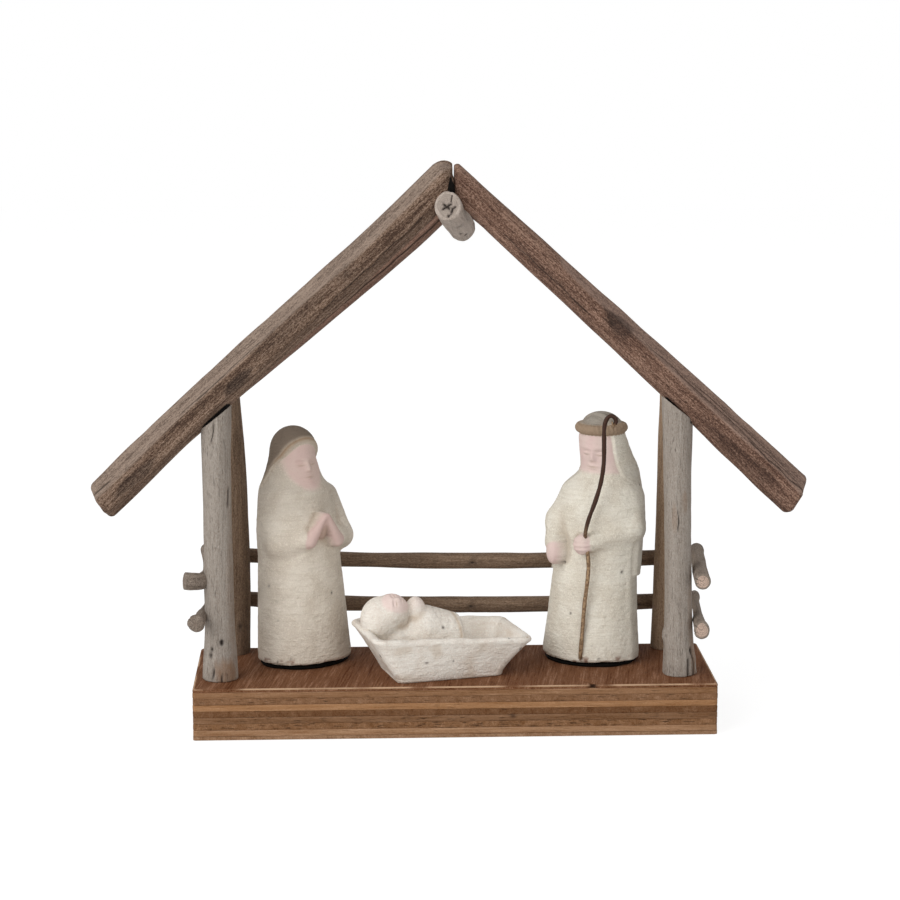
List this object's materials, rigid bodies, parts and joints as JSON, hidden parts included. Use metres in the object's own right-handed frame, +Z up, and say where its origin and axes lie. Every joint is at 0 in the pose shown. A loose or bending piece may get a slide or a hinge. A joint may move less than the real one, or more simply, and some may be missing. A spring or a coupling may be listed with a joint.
{
  "type": "nativity stable",
  "caption": "Tabletop open stable of driftwood posts, rafters and rails on a plywood base, with robed standing clay figures and a manger tray that holds a swaddled infant.",
  "frame": {"origin": "centre of the underside of the base board", "axes": "+Z up, +X along the base to the viewer's right, the open front faces -Y"},
  "size_m": [0.348, 0.0877, 0.2814],
  "materials": {
    "rafter_wood": "weathered, open grain",
    "pale_driftwood": "weathered, smooth and dry",
    "dark_driftwood": "weathered",
    "plywood_face": "stained, satin",
    "plywood_cross": "sawn end grain",
    "plywood_long": "sawn long grain",
    "black_adhesive": "glossy",
    "painted_clay": "chalky matt paint",
    "white_clay": "chalky matt paint",
    "copper_wire": "aged",
    "screw_steel": "plain"
  },
  "bodies": {
    "root": {"front_left_rafter": "rafter_wood", "front_right_rafter": "rafter_wood", "back_left_rafter": "rafter_wood", "back_right_rafter": "rafter_wood", "front_left_post": "pale_driftwood", "front_right_post": "pale_driftwood", "ridge_pole": "pale_driftwood", "left_upper_side_rail": "pale_driftwood", "left_lower_side_rail": "pale_driftwood", "right_upper_side_rail": "pale_driftwood", "right_lower_side_rail": "pale_driftwood", "back_left_post": "dark_driftwood", "back_right_post": "dark_driftwood", "upper_back_rail": "dark_driftwood", "lower_back_rail": "dark_driftwood", "base_top_veneer": "plywood_face", "base_bottom_veneer": "plywood_face", "base_ply_1": "plywood_cross", "base_ply_3": "plywood_cross", "base_ply_5": "plywood_cross", "base_ply_7": "plywood_cross", "base_ply_2": "plywood_long", "base_ply_4": "plywood_long", "base_ply_6": "plywood_long", "front_left_post_glue": "black_adhesive", "front_right_post_glue": "black_adhesive", "ridge_glue": "black_adhesive", "woman_pad": "black_adhesive", "man_pad": "black_adhesive", "standing_woman": "painted_clay", "standing_man": "painted_clay", "manger_tray": "white_clay", "infant": "white_clay", "staff": "copper_wire", "post_screws": "screw_steel"}
  },
  "joints": []
}
